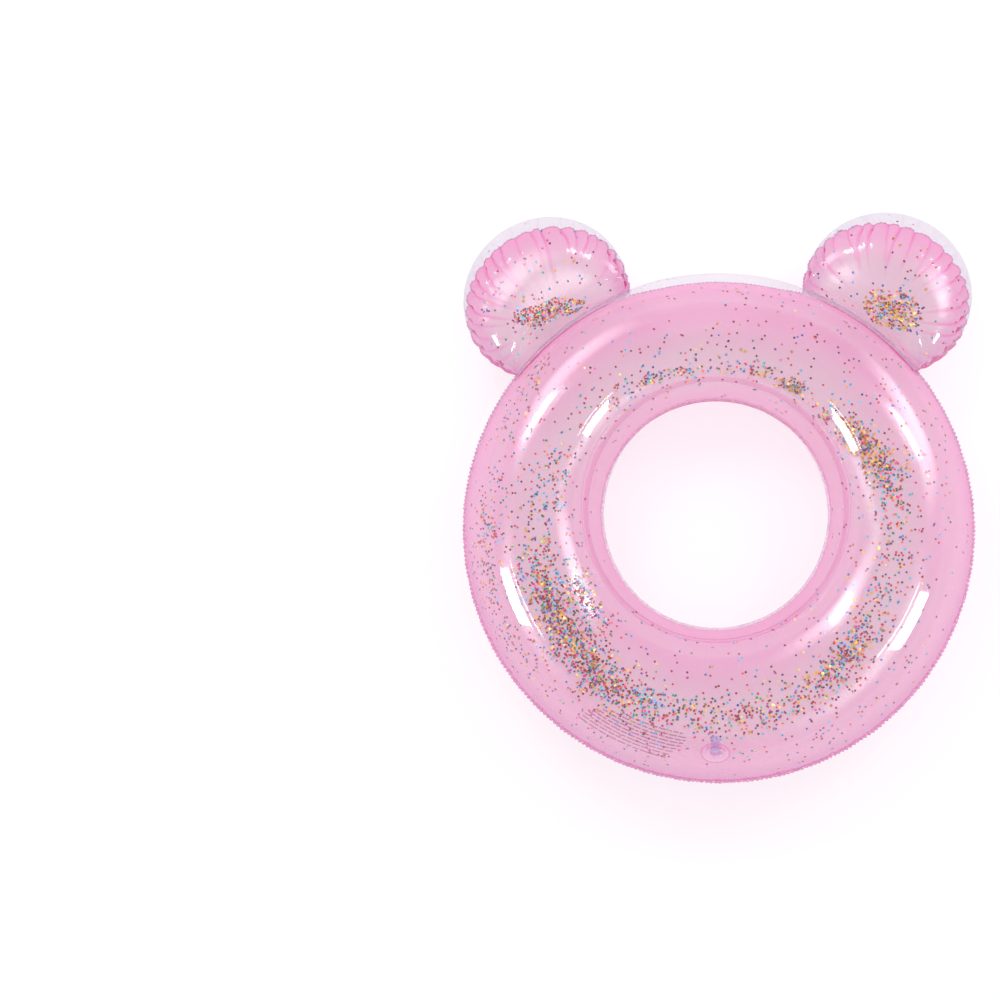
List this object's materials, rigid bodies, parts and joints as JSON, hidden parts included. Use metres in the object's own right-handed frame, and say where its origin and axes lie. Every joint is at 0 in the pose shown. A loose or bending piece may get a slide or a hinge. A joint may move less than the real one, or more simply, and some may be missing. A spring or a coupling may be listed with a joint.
{
  "type": "inflatable pool float",
  "caption": "Inflatable swim ring with two round ears, clear front film, tinted back film, loose glitter inside and a push-in air valve.",
  "frame": {"origin": "centre of the ring's hole, in the plane where the front and back films are welded", "axes": "+Z along the ring's axis, out of the clear front film; +Y towards the two ears; +X to the right seen from the front"},
  "size_m": [0.6698, 0.7403, 0.1747],
  "materials": {
    "clear_film": "clear glossy PVC film",
    "pink_film": "pink see-through PVC film",
    "weld": "two films heat-welded together",
    "valve_vinyl": "clear soft vinyl moulding with a faint blue cast",
    "gold_foil": "metallised gold foil",
    "dark_red_glitter": "dark red foil",
    "red_glitter": "red foil",
    "blue_glitter": "blue foil",
    "cyan_glitter": "cyan foil",
    "green_glitter": "green foil",
    "purple_glitter": "purple foil"
  },
  "bodies": {
    "float": {"ring_front_film": "clear_film", "ring_back_film": "pink_film", "outer_weld_seam": "weld", "inner_weld_seam": "weld", "left_ear_front_film": "clear_film", "left_ear_back_film": "pink_film", "left_ear_weld_seam": "weld", "left_arc_weld": "weld", "right_ear_front_film": "clear_film", "right_ear_back_film": "pink_film", "right_ear_weld_seam": "weld", "right_arc_weld": "weld", "valve_flange": "valve_vinyl", "dark_red_glitter": "dark_red_glitter", "red_glitter": "red_glitter", "blue_glitter": "blue_glitter", "cyan_glitter": "cyan_glitter", "green_glitter": "green_glitter", "purple_glitter": "purple_glitter", "gold_stars": "gold_foil", "gold_hearts": "gold_foil"},
    "stem": {"valve_stem": "valve_vinyl"},
    "plug": {"valve_plug": "valve_vinyl", "plug_tether": "valve_vinyl"},
    "flap": {"check_flap": "valve_vinyl"}
  },
  "joints": [
    {"name": "stem_slide", "type": "slide", "parent": "float", "child": "stem", "axis": [0, -0.6947, -0.7193], "range_m": [0, 0.015]},
    {"name": "plug_hinge", "type": "hinge", "parent": "stem", "child": "plug", "pos_m": [0.0095, -0.29617, -0.06179], "axis": [0, -0.7193, 0.6947], "range_deg": [0, 140]},
    {"name": "flap_hinge", "type": "hinge", "parent": "stem", "child": "flap", "pos_m": [0.0062, -0.27894, -0.04395], "axis": [0, 0.7193, -0.6947], "range_deg": [0, 65], "stiffness_Nm_per_rad": 0.0001}
  ]
}
